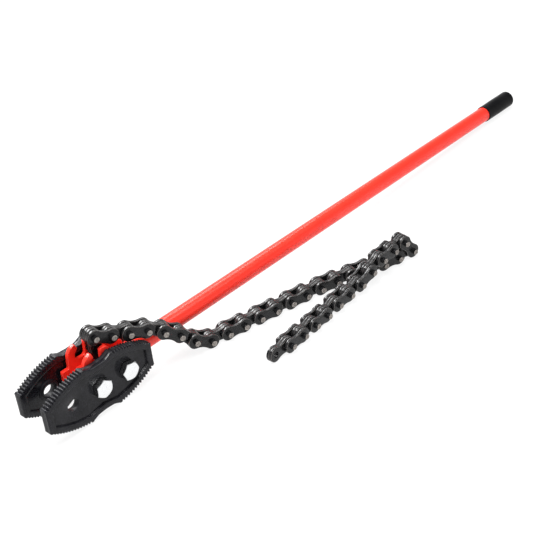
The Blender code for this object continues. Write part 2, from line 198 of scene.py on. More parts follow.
class StageSettings(bpy.types.PropertyGroup):
    camera_place: FloatVectorProperty(
        name="Camera place",
        description="Where the camera stands",
        subtype="TRANSLATION",
        default=(-1.2631, -1.0686, 1.0668),
    )
    camera_turn: FloatVectorProperty(
        name="Camera turn",
        description="The camera's turn about X, Y and Z in degrees",
        default=(56.504, 5.946, -48.194),
    )
    lens: amount("Lens", "Focal length in millimetres on a 36 mm frame", 70.04)
    sky: amount("Sky", "Strength of the light from all round", 0.45)
    ceiling: amount("Ceiling", "Strength of the studio's ceiling in reflections", 0.12)
    overhead_lamp: amount("Overhead lamp", "Power of the lamp overhead in watts", 24.0)
    key_lamp: amount("Key lamp", "Power of the lamp over the head in watts", 75.0)
    rim_lamp: amount("Rim lamp", "Power of the lamp behind the wrench's head in watts", 75.0)
    back_lamp: amount("Back lamp", "Power of the lamp behind the wrench in watts", 27.0)


def quads(rows, columns, wrap_rows):
    """Four-sided faces between neighbours in a grid, numbered row by row, whose rows are closed rings."""
    r, c = np.meshgrid(np.arange(rows if wrap_rows else rows - 1), np.arange(columns), indexing="ij")
    below, right = (r + 1) % rows, (c + 1) % columns
    corners = (r * columns + c, below * columns + c, below * columns + right, r * columns + right)
    return np.stack(corners, axis=-1).reshape(-1, 4)


def skin(points, wrap_rows=False, wear=0.0, finish=0):
    """A rows x columns x 3 grid of points with its faces, wear by row or point (on zinc pieces, the share
    not darkened by painted shade), and finish's number.
    """
    rows, columns = points.shape[:2]
    rubbed = np.broadcast_to(np.reshape(wear, (-1, 1)) if np.ndim(wear) == 1 else wear, (rows, columns))
    return points.reshape(-1, 3), quads(rows, columns, wrap_rows), rubbed.reshape(-1), finish


def placed(skins, matrix):
    """The skins moved by a matrix: each point p becomes R p + t."""
    m = np.array(matrix)
    return [(p @ m[:3, :3].T + m[:3, 3], f, w, n) for p, f, w, n in skins]


def piece(name, skins, finishes, body, node, sharp=35.0):
    """Joins the skins into one mesh whose seams and poles are merged and whose faces point outwards."""
    points = np.concatenate([s[0] for s in skins])
    starts = np.cumsum([0] + [len(s[0]) for s in skins[:-1]])
    faces = np.concatenate([s[1] + start for s, start in zip(skins, starts)])
    kinds = np.concatenate([np.full(len(s[1]), s[3]) for s in skins])
    mesh = bpy.data.meshes.new(name)
    mesh.from_pydata(points.tolist(), [], faces.tolist())
    mesh.polygons.foreach_set("material_index", kinds.astype(np.int32))
    # The wear attribute marks rubbed places on enamel and oxide; on zinc it is the share of bright colour,
    # the rest painted shade
    wear = mesh.attributes.new("wear", "FLOAT", "POINT")
    wear.data.foreach_set("value", np.concatenate([s[2] for s in skins]).astype(np.float32))
    made = bmesh.new()
    made.from_mesh(mesh)
    bmesh.ops.remove_doubles(made, verts=made.verts, dist=MERGE)
    bmesh.ops.recalc_face_normals(made, faces=made.faces)
    made.to_mesh(mesh)
    made.free()
    finished(name, mesh, finishes, body, node, sharp)


def finished(name, mesh, finishes, body, node, sharp=35.0):
    """Puts a mesh in the scene with its finishes, its body and the node that it replaces."""
    mesh.shade_smooth()
    mesh.set_sharp_from_angle(angle=math.radians(sharp))
    for material in finishes:
        mesh.materials.append(material)
    obj = bpy.data.objects.new(name, mesh)
    bpy.context.scene.collection.objects.link(obj)
    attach(obj, body)
    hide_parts(node)


def revolved(profile, steps, along="X", wear=0.0, finish=0):
    """A profile of (place, radius) rows turned round an axis.

    A point is (place, r cos t, r sin t) round X and (r cos t, place, r sin t) round Y.
    """
    place, radius = np.array(profile, float).T
    turn = np.linspace(0, 2 * np.pi, steps, endpoint=False)
    across, up = np.outer(radius, np.cos(turn)), np.outer(radius, np.sin(turn))
    level = np.broadcast_to(place[:, None], across.shape)
    order = (level, across, up) if along == "X" else (across, level, up)
    return skin(np.stack(order, axis=-1), wear=wear, finish=finish)


def moved(one, x=0.0, y=0.0, z=0.0):
    """One skin shifted."""
    return (one[0] + np.array((x, y, z)), *one[1:])


def inward(outline):
    """Unit directions into an anticlockwise outline, square to the line between a point's neighbours."""
    tangent = np.roll(outline, -1, axis=0) - np.roll(outline, 1, axis=0)
    normal = np.stack([-tangent[:, 1], tangent[:, 0]], axis=-1)
    return normal / np.linalg.norm(normal, axis=1, keepdims=True)


def cells(outline, holes, parts=8):
    """Splits an anticlockwise outline of x, z points into a closed boundary round each of two or more holes.

    The holes lie along the x axis. Between two of them the dividing line runs from the lower to the upper
    outline point nearest to their midway.
    """
    count = len(outline)
    numbers = np.arange(count)
    upper, lower = numbers[outline[:, 1] > 0], numbers[outline[:, 1] < 0]
    share = np.linspace(0, 1, parts + 1)[1:-1, None]

    def run(first, last):
        return outline[(first + np.arange((last - first) % count + 1)) % count]

    def line(first, last):
        return outline[first] * (1 - share) + outline[last] * share

    tops, lows = [], []
    for left, right in zip(holes[:-1], holes[1:]):
        tops.append(upper[np.argmin(abs(outline[upper, 0] - (left + right) / 2))])
        lows.append(lower[np.argmin(abs(outline[lower, 0] - (left + right) / 2))])
    found = []
    for k in range(len(holes)):
        if k == 0:
            found.append(np.concatenate([run(tops[k], lows[k]), line(tops[k], lows[k])[::-1]]))
        elif k == len(holes) - 1:
            found.append(np.concatenate([run(lows[k - 1], tops[k - 1]), line(tops[k - 1], lows[k - 1])]))
        else:
            parts_of = [run(tops[k], tops[k - 1]), line(tops[k - 1], lows[k - 1])]
            parts_of += [run(lows[k - 1], lows[k]), line(tops[k], lows[k])[::-1]]
            found.append(np.concatenate(parts_of))
    return found


def pierced(outline, holes, rows, heights, wear):
    """Both faces of a pierced web with the walls of its holes, one grid round each hole.

    Along a row runs the boundary's direction from the hole's centre. Down the rows the surface goes from the
    boundary at the first height in over the (radius, height) rows and back out at the last height.
    """
    skins = []
    for centre, boundary in zip(holes, cells(outline, holes)):
        away = boundary - (centre, 0)
        away = away / np.linalg.norm(away, axis=1, keepdims=True)
        rings = [(boundary, heights[0])]
        rings += [((centre, 0) + away * radius, height) for radius, height in rows]
        rings.append((boundary, heights[1]))
        grid = [np.insert(line, 1, level, axis=-1) for line, level in rings]
        skins.append(skin(np.array(grid), wear=np.array([0.0, *wear, 0.0])))
    return skins


def mixed(tree, factor, first, second, kind="RGBA"):
    """A Mix node between two colours or values."""
    node = tree.nodes.new("ShaderNodeMix")
    node.data_type = kind
    if kind == "RGBA":
        factor_in, a, b, out = node.inputs[0], node.inputs[6], node.inputs[7], node.outputs[2]
    else:
        factor_in, a, b, out = node.inputs[0], node.inputs[2], node.inputs[3], node.outputs[0]
    for socket, value in ((factor_in, factor), (a, first), (b, second)):
        if isinstance(value, bpy.types.NodeSocket):
            tree.links.new(value, socket)
        elif socket.type == "RGBA":
            socket.default_value = (*value, 1.0)
        else:
            socket.default_value = value
    return out


def noise(tree, scale, detail=3.0, roughness=0.55):
    """Noise over the piece's own coordinates, with scale in cycles per metre."""
    node = tree.nodes.new("ShaderNodeTexNoise")
    tree.links.new(tree.nodes.new("ShaderNodeTexCoord").outputs["Object"], node.inputs["Vector"])
    node.inputs["Scale"].default_value = scale
    node.inputs["Detail"].default_value = detail
    node.inputs["Roughness"].default_value = roughness
    return node.outputs["Fac"]


def ramp(tree, value, low, high, to_low=0.0, to_high=1.0):
    """A value's range from low to high, spread from to_low to to_high."""
    node = tree.nodes.new("ShaderNodeMapRange")
    tree.links.new(value, node.inputs["Value"])
    for name, number in (("From Min", low), ("From Max", high), ("To Min", to_low), ("To Max", to_high)):
        node.inputs[name].default_value = number
    return node.outputs["Result"]


def bumped(tree, shader, height, distance, strength):
    """Bumps in a shader's surface, by the distance from the value's lowest to its highest place."""
    node = tree.nodes.new("ShaderNodeBump")
    node.inputs["Distance"].default_value = distance
    node.inputs["Strength"].default_value = strength
    tree.links.new(height, node.inputs["Height"])
    tree.links.new(node.outputs["Normal"], shader.inputs["Normal"])


def wear_and_shade_of(tree):
    """The piece's wear attribute, which on the zinc pieces also carries painted shade: below 1 their colour
    is darkened as if in shade.
    """
    node = tree.nodes.new("ShaderNodeAttribute")
    node.attribute_name = "wear"
    return node.outputs["Fac"]


def worn(tree, low, high, scale=160.0, spread=0.45):
    """Where the finish is rubbed off: the piece's wear attribute, broken up by noise."""
    join = tree.nodes.new("ShaderNodeMath")
    join.operation = "MULTIPLY"
    tree.links.new(wear_and_shade_of(tree), join.inputs[0])
    tree.links.new(ramp(tree, noise(tree, scale), 0.3, 0.7, 1 - spread, 1 + spread), join.inputs[1])
    return ramp(tree, join.outputs[0], low, high)


def shader_of(name, metallic=0.0, roughness=0.4, specular=0.5):
    """A new material with its node tree and its main shader."""
    made = bpy.data.materials.new(name)
    made.use_nodes = True
    tree = made.node_tree
    shader = tree.nodes["Principled BSDF"]
    shader.inputs["Metallic"].default_value = metallic
    shader.inputs["Roughness"].default_value = roughness
    shader.inputs["Specular IOR Level"].default_value = specular
    return made, tree, shader


def enamel(value):
    """Gloss enamel: faint tone variation and the soft waviness of a sprayed coat."""
    made, tree, shader = shader_of("red enamel", roughness=0.28, specular=0.34)
    deep = tuple(channel * 0.9 for channel in value)
    tone = mixed(tree, ramp(tree, noise(tree, 28.0), 0.35, 0.65), value, deep)
    tree.links.new(tone, shader.inputs["Base Color"])
    bumped(tree, shader, noise(tree, 120.0, 1.0), 0.04 * MM, 0.1)
    return made


def black_enamel(value):
    """Gloss enamel over forged steel: a fine cast grain, uneven tone, matt wear on edges and teeth."""
    made, tree, shader = shader_of("black enamel", roughness=0.2, specular=0.23)
    light = tuple(min(1.0, channel * 1.7 + 0.002) for channel in value)
    tone = mixed(tree, ramp(tree, noise(tree, 60.0, 5.0), 0.35, 0.7), value, light)
    tree.links.new(mixed(tree, worn(tree, 0.5, 1.2), tone, (0.1, 0.1, 0.105)), shader.inputs["Base Color"])
    gloss = ramp(tree, noise(tree, 150.0), 0.3, 0.7, 0.16, 0.27)
    matt = ramp(tree, wear_and_shade_of(tree), 0.12, 0.4)
    tree.links.new(mixed(tree, matt, gloss, 0.55, "FLOAT"), shader.inputs["Roughness"])
    bumped(tree, shader, noise(tree, 320.0, 3.0), 0.1 * MM, 0.22)
    return made


def black_oxide(value, steel):
    """Oiled black oxide on stamped steel, rubbed bright along its edges."""
    made, tree, shader = shader_of("black oxide", roughness=0.2, specular=0.28)
    light = tuple(min(1.0, channel * 1.9) for channel in value)
    tone = mixed(tree, ramp(tree, noise(tree, 110.0, 4.0), 0.35, 0.7), value, light)
    rubbed = worn(tree, 0.5, 1.3, 60.0, 0.15)
    tree.links.new(mixed(tree, rubbed, tone, steel), shader.inputs["Base Color"])
    tree.links.new(rubbed, shader.inputs["Metallic"])
    tree.links.new(ramp(tree, noise(tree, 60.0, 1.0), 0.3, 0.7, 0.2, 0.26), shader.inputs["Roughness"])
    bumped(tree, shader, noise(tree, 60.0, 1.0), 0.05 * MM, 0.05)
    return made


def bare_steel(value):
    """Cut steel at a pin's end, with light machining marks."""
    made, tree, shader = shader_of("pin steel", metallic=0.45, roughness=0.38)
    dark = tuple(channel * 0.6 for channel in value)
    tone = mixed(tree, ramp(tree, noise(tree, 300.0, 4.0), 0.35, 0.65), value, dark)
    tree.links.new(tone, shader.inputs["Base Color"])
    bumped(tree, shader, noise(tree, 900.0, 2.0), 0.1 * MM, 0.5)
    return made


def zinc_plate(value):
    """Bright zinc plate with faint cloudy spangles, bright on the end faces, with painted shade darkening
    the side faces where the wear attribute is low.
    """
    made, tree, shader = shader_of("zinc plate", metallic=1.0, roughness=0.26)
    dull = tuple(channel * 0.84 for channel in value)
    cloud = mixed(tree, ramp(tree, noise(tree, 190.0, 5.0, 0.65), 0.55, 0.8), value, dull)
    # Painted shade: a darker copy of the zinc colour for the side faces of heads and nuts, and in part for
    # shanks and washers
    painted_shade_sides = tuple(channel * 0.42 for channel in value)
    tree.links.new(mixed(tree, wear_and_shade_of(tree), painted_shade_sides, cloud), shader.inputs["Base Color"])
    tree.links.new(ramp(tree, noise(tree, 330.0), 0.3, 0.7, 0.2, 0.34), shader.inputs["Roughness"])
    bumped(tree, shader, noise(tree, 600.0, 3.0), 0.06 * MM, 0.3)
    return made


def vinyl(value):
    """Dipped vinyl: satin, slightly uneven along its length."""
    made, tree, shader = shader_of("grip vinyl", roughness=0.34, specular=0.06)
    light = tuple(min(1.0, channel * 1.6) for channel in value)
    tone = mixed(tree, ramp(tree, noise(tree, 45.0), 0.35, 0.65), value, light)
    tree.links.new(tone, shader.inputs["Base Color"])
    tree.links.new(ramp(tree, noise(tree, 90.0), 0.3, 0.7, 0.28, 0.42), shader.inputs["Roughness"])
    bumped(tree, shader, noise(tree, 260.0, 3.0), 0.2 * MM, 0.5)
    return made


def finish(kind):
    """The shared finish of that name, made once from the scene's colours."""
    found = bpy.data.materials.get(kind)
    if found:
        return found
    colours = bpy.context.scene.wrench_finish
    makers = {
        "red enamel": lambda: enamel(tuple(colours.enamel)),
        "black enamel": lambda: black_enamel(tuple(colours.black)),
        "black oxide": lambda: black_oxide(tuple(colours.oxide), tuple(colours.steel)),
        "pin steel": lambda: bare_steel(tuple(colours.steel)),
        "zinc plate": lambda: zinc_plate(tuple(colours.zinc)),
        "grip vinyl": lambda: vinyl(tuple(colours.vinyl)),
    }
    return makers[kind]()


class BuildHandle(bpy.types.Operator):
    """Build the handle tube and its dipped grip"""

    bl_idname = "wrench.handle"
    bl_label = "Handle"

    def execute(self, context):
        s = context.scene.wrench_handle
        bore = s.tube_radius - s.tube_wall
        edge = 0.8 * MM
        places = np.linspace(s.tube_start + edge, s.tube_end, 40)
        outside = [(s.tube_start, s.tube_radius - edge)] + [(x, s.tube_radius) for x in places]
        profile = [(s.tube_end, bore), (s.tube_start, bore), *outside, (s.tube_end, bore)]
        tube = placed([revolved(profile, 96)], HEAD)
        piece("handle_tube_surface", tube, [finish("red enamel")], "wrench", "handle_tube")

        r, tip = s.grip_radius, s.grip_end
        mouth, dome = tip - s.grip_length, r * 0.45
        t = np.linspace(0, np.pi / 2, 14)
        rounded_end = list(zip(tip - dome * (1 - np.cos(t)), r * np.sin(t)))
        places = np.linspace(tip - dome - 2 * MM, mouth + 3 * MM, 24)
        sag, waves = 0.12 * MM, 90
        body = [(x, r - sag * np.sin((x - mouth) * waves)) for x in places]
        lip = [(mouth + 0.9 * MM, r - 0.05 * MM), (mouth + 0.25 * MM, r - 0.4 * MM), (mouth, r - 0.9 * MM)]
        deep, bore = mouth + 6 * MM, s.tube_radius + 0.1 * MM
        inside = [(mouth + 0.3 * MM, bore), (deep, bore), (deep, 0)]
        grip = placed([revolved(rounded_end + body + lip + inside, 80)], HEAD)
        piece("end_grip_surface", grip, [finish("grip vinyl")], "wrench", "end_grip")
        return {"FINISHED"}


def jaw_lines(s):
    """A jaw's toothed outline, its field's outline and its edge's bluntness, point for point, anticlockwise.

    The outlines are x, z. A quarter runs along an arc from the jaw's end to its hip, then down an S to the
    waist. The field is the smooth quarter moved in by the rim's width. Each point's number tells how far
    round the corners of the smooth outline it is.
    """
    start, hip = np.array((s.length / 2, s.end_height / 2)), np.array((s.hip_x, s.hip_z))
    chord = np.linalg.norm(hip - start)
    radius = (chord / 2) ** 2 / (2 * s.rise) + s.rise / 2
    along = (hip - start) / chord
    centre = (start + hip) / 2 + np.array((-along[1], along[0])) * (radius - s.rise)
    first = np.arctan2(*(start - centre)[::-1])
    last = np.arctan2(*(hip - centre)[::-1])

    def arc(share, depth=0.0):
        angle = first + (last - first) * share
        outward = np.stack([np.cos(angle), np.sin(angle)], axis=-1)
        return centre + outward * np.reshape(radius - depth, (-1, 1))

    parts = 6
    half_count = 2 * parts + 2
    coarse = np.concatenate([arc(np.arange(parts + 1) / parts), [(0.0, s.waist)]])
    coarse = np.concatenate([coarse, coarse[-2::-1] * (-1, 1)])
    coarse = np.concatenate([coarse, -coarse])
    before = coarse - np.roll(coarse, 1, axis=0)
    after = np.roll(coarse, -1, axis=0) - coarse
    before /= np.linalg.norm(before, axis=1, keepdims=True)
    after /= np.linalg.norm(after, axis=1, keepdims=True)
    mitre = np.stack([-before[:, 1] - after[:, 1], before[:, 0] + after[:, 0]], axis=-1)
    mitre /= np.linalg.norm(mitre, axis=1, keepdims=True)
    share = mitre[:, 1] * before[:, 0] - mitre[:, 0] * before[:, 1]
    field = coarse + mitre * (s.rim / share)[:, None]

    phase = np.array([0.0, 0.05, 0.14, 0.28, 0.35, 0.42, 0.58, 0.65, 0.72, 0.86, 0.95])
    depth = np.array([1.0, 0.93, 0.66, 0.18, 0.03, 0.0, 0.0, 0.03, 0.18, 0.66, 0.93]) * s.depth
    shares = ((np.arange(s.teeth)[:, None] + phase) / s.teeth).ravel()
    depths = np.tile(depth, s.teeth)
    margin = 0.3 / s.teeth
    keep = shares > margin
    shares, depths = np.append(0.0, shares[keep]), np.append(0.0, depths[keep])
    keep = shares < 1 - margin
    shares, depths = np.append(shares[keep], 1.0), np.append(depths[keep], 0.0)
    waist_share = np.linspace(0, 1, 15)[1:]
    steep, power, foot_share = 1.9, 1.6, 0.78
    drop = np.sin(np.minimum(1, waist_share * steep) * np.pi / 2) ** power
    dip = s.hip_z - s.waist
    foot = dip * foot_share
    waist_z = s.hip_z - foot * drop - (dip - foot) * waist_share
    waist = np.stack([s.hip_x * (1 - waist_share), waist_z], axis=-1)
    quarter = np.concatenate([arc(shares, depths), waist])
    number = np.concatenate([shares * parts, parts + waist_share])
    tip_blunt, root_blunt, waist_blunt, end_blunt = 0.3, 1.4, 2.9, 0.7
    tooth_blunt = tip_blunt + (root_blunt - tip_blunt) * depths / s.depth
    blunt = np.concatenate([tooth_blunt, np.full(len(waist), waist_blunt)])
    half = np.concatenate([quarter, quarter[-2::-1] * (-1, 1)])
    numbers = np.concatenate([number, half_count - number[-2::-1]])
    end = np.linspace(0, 1, 7)[1:-1]
    blunt = np.concatenate([blunt, blunt[-2::-1], np.full(len(end), end_blunt)])
    end_points = np.stack([np.full(len(end), -s.length / 2), s.end_height * (0.5 - end)], axis=-1)
    half, numbers = np.concatenate([half, end_points]), np.concatenate([numbers, half_count + end])
    toothed = np.concatenate([half, -half])
    blunt = np.concatenate([blunt, blunt])
    numbers = np.concatenate([numbers, numbers + half_count + 1])
    closed = np.concatenate([field, field[:1]])
    steps = np.arange(len(closed))
    inside = np.stack([np.interp(numbers, steps, closed[:, i]) for i in (0, 1)], axis=-1)
    return toothed, inside, blunt


class BuildJaws(bpy.types.Operator):
    """Build both toothed jaws"""

    bl_idname = "wrench.jaws"
    bl_label = "Jaws"

    def execute(self, context):
        s = context.scene.wrench_jaws
        toothed, field, blunt = jaw_lines(s)
        floor_out, floor_in = s.outer - s.outer_recess, s.inner + s.inner_recess
        boss = s.inner - s.boss_height
        edge = 0.7 * MM
        # Share of the way from the field to the outline, height, drop by bluntness in millimetres, and wear
        rim = [
            (0.0, floor_out, 0, 0),
            (0.02, floor_out + 0.5 * MM, 0, 0),
            (0.07, s.outer - 0.9 * MM, 0, 0),
            (0.1, s.outer - 0.25 * MM, 0, 0.5),
            (0.14, s.outer, 0, 0.45),
            (0.4, s.outer, 0, 0),
            (0.7, s.outer, 0, 0),
            (0.84, s.outer, 0, 0),
            (0.91, s.outer, 0.25, 0),
            (0.968, s.outer, 0.85, 0),
            (0.992, s.outer, 1.5, 0),
            (1.0, s.outer, 2.3, 0.1),
            (1.0, s.outer - 7.2 * MM, 0, 0.45),
            (1.0, s.inner + 5.2 * MM, 0, 0.45),
            (1.0, s.inner, -1.6, 0.4),
            (0.975, s.inner, -0.7, 0.2),
            (0.925, s.inner, -0.1, 0.1),
            (0.5, s.inner, 0, 0),
            (0.14, s.inner, 0, 0.4),
            (0.1, s.inner + 0.25 * MM, 0, 0.4),
            (0.07, s.inner + 0.9 * MM, 0, 0),
            (0.0, floor_in, 0, 0),
        ]
        share, height, drop, wear = np.array(rim).T
        flat = field * (1 - share[:, None, None]) + toothed * share[:, None, None]
        level = (height[:, None] - np.outer(drop * MM, blunt))[..., None]
        ring = skin(np.concatenate([flat[..., :1], level, flat[..., 1:]], axis=-1), wear=wear)
        # Radius, height and wear from the outer field through a hole and over its boss to the inner field
        rows = [
            (s.hole + edge, floor_out, 0),
            (s.hole + 0.2 * MM, floor_out - 0.25 * MM, 0.5),
            (s.hole, floor_out - edge, 0.5),
            (s.hole, boss + edge, 0.4),
            (s.hole + 0.2 * MM, boss + 0.25 * MM, 0.5),
            (s.hole + edge, boss, 0),
            (s.boss_radius - 0.8 * MM, boss, 0.3),
            (s.boss_radius - 0.1 * MM, boss + 0.5 * MM, 0.4),
            (s.boss_radius + 0.4 * MM, floor_in - 0.6 * MM, 0),
            (s.boss_radius + 1.2 * MM, floor_in, 0),
        ]
        bores = [row[:2] for row in rows]
        holes = (-s.pitch, 0.0, s.pitch)
        web = pierced(field, holes, bores, (floor_out, floor_in), [row[2] for row in rows])
        rear = placed([ring, *web], HEAD)
        turned_round = Matrix.Diagonal((1, -1, 1, 1))
        front = placed([ring, *web], HEAD @ turned_round)
        black = [finish("black enamel")]
        piece("rear_jaw_surface", rear, black, "wrench", "rear_jaw", 40)
        piece("front_jaw_surface", front, black, "wrench", "front_jaw", 40)
        return {"FINISHED"}


# A cheek's corners in millimetres, as x, z and the corner's radius
CHEEK_CORNERS = (
    (-30, -21, 5),
    (92, -21, 12),
    (92, 14, 8),
    (60, 31, 14),
    (43, 40, 8),
    (33, 55, 7),
    (21, 55, 4),
    (18.5, 29, 5),
    (-1, 30, 5),
    (0, 42, 3),
    (6.5, 47.5, 2.5),
    (2.5, 58, 3),
    (-14, 51, 20),
    (-16.5, 22, 2),
    (-30, 22, 2.5),
)


def filleted(corners, step=5.0):
    """A closed line through corners of x, z and radius in millimetres, each rounded by an arc.

    The arc's centre lies on the corner's bisector, radius / sin(half the corner's angle) from the corner.
    """
    points = np.array([c[:2] for c in corners], float)
    radii = np.array([c[2] for c in corners], float)
    back = np.roll(points, 1, axis=0) - points
    ahead = np.roll(points, -1, axis=0) - points
    back /= np.linalg.norm(back, axis=1, keepdims=True)
    ahead /= np.linalg.norm(ahead, axis=1, keepdims=True)
    half = np.arccos(np.clip((back * ahead).sum(1), -1, 1)) / 2
    bisector = (back + ahead) / np.linalg.norm(back + ahead, axis=1, keepdims=True)
    centre = points + bisector * (radii / np.sin(half))[:, None]
    outline = []
    for i in range(len(points)):
        start = points[i] + back[i] * radii[i] / np.tan(half[i]) - centre[i]
        end = points[i] + ahead[i] * radii[i] / np.tan(half[i]) - centre[i]
        first = np.arctan2(start[1], start[0])
        sweep = (np.arctan2(end[1], end[0]) - first + np.pi) % (2 * np.pi) - np.pi
        t = first + sweep * np.linspace(0, 1, max(3, round(abs(np.degrees(sweep)) / step)) + 1)
        outline.append(centre[i] + radii[i] * np.stack([np.cos(t), np.sin(t)], axis=-1))
    return np.concatenate(outline) * MM


def circle(x, z, radius, steps):
    """A closed circle of x, z points."""
    t = np.linspace(0, 2 * np.pi, steps, endpoint=False)
    return np.stack([x + radius * np.cos(t), z + radius * np.sin(t)], axis=-1)


def flat_plate(name, lines, thickness, edge):
    """A plate about y = 0 between closed lines of x, z points, with edges rounded by a radius, as a mesh."""
    curve = bpy.data.curves.new(name, "CURVE")
    curve.dimensions = "2D"
    curve.fill_mode = "BOTH"
    curve.extrude = thickness / 2 - edge
    curve.bevel_depth = edge
    curve.bevel_resolution = 3
    curve.offset = -edge
    for line in lines:
        spline = curve.splines.new("POLY")
        spline.points.add(len(line) - 1)
        flat = np.concatenate([line, np.zeros((len(line), 1)), np.ones((len(line), 1))], axis=1)
        spline.points.foreach_set("co", flat.ravel())
        spline.use_cyclic_u = True
    holder = bpy.data.objects.new(name, curve)
    bpy.context.scene.collection.objects.link(holder)
    graph = bpy.context.evaluated_depsgraph_get()
    mesh = bpy.data.meshes.new_from_object(holder.evaluated_get(graph), depsgraph=graph)
    bpy.data.objects.remove(holder)
    bpy.data.curves.remove(curve)
    made = bmesh.new()
    made.from_mesh(mesh)
    bmesh.ops.remove_doubles(made, verts=made.verts, dist=MERGE)
    bmesh.ops.recalc_face_normals(made, faces=made.faces)
    made.to_mesh(mesh)
    made.free()
    mesh.transform(Matrix.Rotation(math.pi / 2, 4, "X"))
    mesh.materials.clear()
    return mesh


class BuildHead(bpy.types.Operator):
    """Build the two cheeks, the spacer sleeve and the anchor pin"""

    bl_idname = "wrench.head"
    bl_label = "Head"

    def execute(self, context):
        s, jaws = context.scene.wrench_head, context.scene.wrench_jaws
        lines = [
            filleted(CHEEK_CORNERS),
            circle(0, 0, jaws.hole, 48),
            circle(jaws.pitch, 0, jaws.hole, 48),
            circle(s.anchor_x, s.anchor_z, s.anchor_radius + FIT, 32),
        ]
        for name, side in (("front_cheek", -1), ("rear_cheek", 1)):
            mesh = flat_plate(name + "_surface", lines, s.cheek, s.cheek_edge)
            mesh.transform(HEAD @ Matrix.Translation((0, side * (s.cheek_inner + s.cheek / 2), 0)))
            finished(name + "_surface", mesh, [finish("red enamel")], "wrench", name)
        half, edge = s.cheek_inner - FIT, 0.6 * MM
        r, bore = s.sleeve_radius, jaws.hole
        sleeve = [(half, bore), *barrel(-half, half, r, edge), (-half, bore), (half, bore)]
        spacer = placed([revolved(sleeve, 64, "Y")], HEAD)
        red = [finish("red enamel")]
        piece("spacer_sleeve_surface", spacer, red, "wrench", "spacer_sleeve")
        half, r = s.cheek_inner + s.cheek, s.anchor_radius
        pin = [(half, 0), *barrel(-half, half, r, edge), (-half, 0)]
        anchor = placed([moved(revolved(pin, 40, "Y"), s.anchor_x, 0, s.anchor_z)], HEAD)
        piece("anchor_pin_surface", anchor, [finish("black oxide")], "wrench", "anchor_pin")
        return {"FINISHED"}


def barrel(low, high, radius, edge):
    """A round wall's (place, radius) rows from high to low, with both edges broken."""
    return [(high, radius - edge), (high - edge, radius), (low + edge, radius), (low, radius - edge)]


def hexagon(flats, low, high, turn, bore=0.0, both=False):
    """A chamfered hexagon along y, high end first.

    At angle t its wall is at (flats / 2) / cos(t'), with t' the angle from the nearest flat's middle. A cone
    that starts inside the flats takes its corners off, falling by the radius past its start over the slope.
    With both set, the low end has such a cone too.
    """
    corner_steps = np.array([-30, -29.2, -28, -25, -18, -9, 0, 9, 18, 25, 28, 29.2])
    t = np.radians((np.arange(6)[:, None] * 60 + corner_steps).ravel())
    near = np.radians(np.tile(corner_steps, 6))
    wall = np.minimum(flats / 2 / np.cos(near), flats / 2 / np.cos(np.radians(29.0)))
    start, slope, break_edge = flats * 0.475, 1.8, 0.15 * MM
    fall = (wall - start) / slope
    sign = 1 if high > low else -1

    def ring(radius, y):
        radius = np.broadcast_to(radius, t.shape)
        y = np.broadcast_to(y, t.shape)
        return np.stack([radius * np.cos(t + turn), y, radius * np.sin(t + turn)], axis=-1)

    rows = [ring(bore, high), ring(start, high)]
    rows += [ring((start + wall) / 2, high - sign * fall / 2), ring(wall, high - sign * fall)]
    rows += [ring(wall, high - sign * (fall + break_edge))]
    if both:
        rows += [ring(wall, low + sign * (fall + break_edge)), ring(wall, low + sign * fall)]
        rows += [ring(start, low)]
    else:
        rows += [ring(wall, low + sign * 2 * break_edge), ring(wall - 2 * break_edge, low)]
    rows += [ring(bore, low)]
    # Share of the bright zinc colour per row: 1 on the end faces, 0 on the side faces, which take painted
    # shade
    bright = [1, 1, 0.8, 0.5, 0] + [0] * (len(rows) - 5)
    if both:
        bright[-3:] = [0.5, 1, 1]
    return skin(np.array(rows), wrap_rows=bore > 0, wear=np.array(bright, float))


class BuildBolts(bpy.types.Operator):
    """Build the two bolts with their nuts and washers"""

    bl_idname = "wrench.bolts"
    bl_label = "Bolts"

    def execute(self, context):
        s, jaws = context.scene.wrench_bolts, context.scene.wrench_jaws
        zinc = [finish("zinc plate")]
        nut_face = s.seat + s.washer + FIT
        past_nut, root, washer_radius, washer_edge = 3 * MM, 1.0 * MM, 17 * MM, 0.4 * MM
        tail = nut_face + s.nut + past_nut
        for number, (label, turn) in enumerate((("centre", 4.0), ("second", -20.0))):
            x = number * jaws.pitch
            head = hexagon(s.flats, -s.seat, -s.seat - s.head, math.radians(-turn))
            ridges = int((s.nut + past_nut + 1 * MM) / s.thread)
            place = tail - 1.2 * MM - s.thread / 2 * np.arange(2 * ridges)
            radius = np.where(np.arange(2 * ridges) % 2, s.radius - root, s.radius)
            shank = [(tail, 0), (tail, s.radius - 1.4 * MM), *zip(place, radius)]
            shank += [(place[-1] - s.thread / 2, s.radius), (-s.seat, s.radius), (-s.seat, 0)]
            # The shank's wear value of 0.7 is its share of the bright zinc colour, the rest painted shade
            bolt = placed([moved(head, x), moved(revolved(shank, 48, "Y", 0.7), x)], HEAD)
            piece(f"{label}_bolt_surface", bolt, zinc, "wrench", f"{label}_bolt", 32)
            nut = hexagon(s.flats, nut_face, nut_face + s.nut, math.radians(30 - turn), s.radius + FIT, True)
            nut = placed([moved(nut, x)], HEAD)
            piece(f"{label}_nut_surface", nut, zinc, "wrench", f"{label}_nut", 32)
            low, high, bore = s.seat, s.seat + s.washer, s.radius + FIT
            wall = barrel(low, high, washer_radius, washer_edge)
            # The washer's wear value of 0.8 is its share of the bright zinc colour, the rest painted shade
            ring = revolved([(high, bore), *wall, (low, bore), (high, bore)], 64, "Y", 0.8)
            washer = placed([moved(ring, x)], HEAD)
            piece(f"{label}_washer_surface", washer, zinc, "wrench", f"{label}_washer")
        return {"FINISHED"}


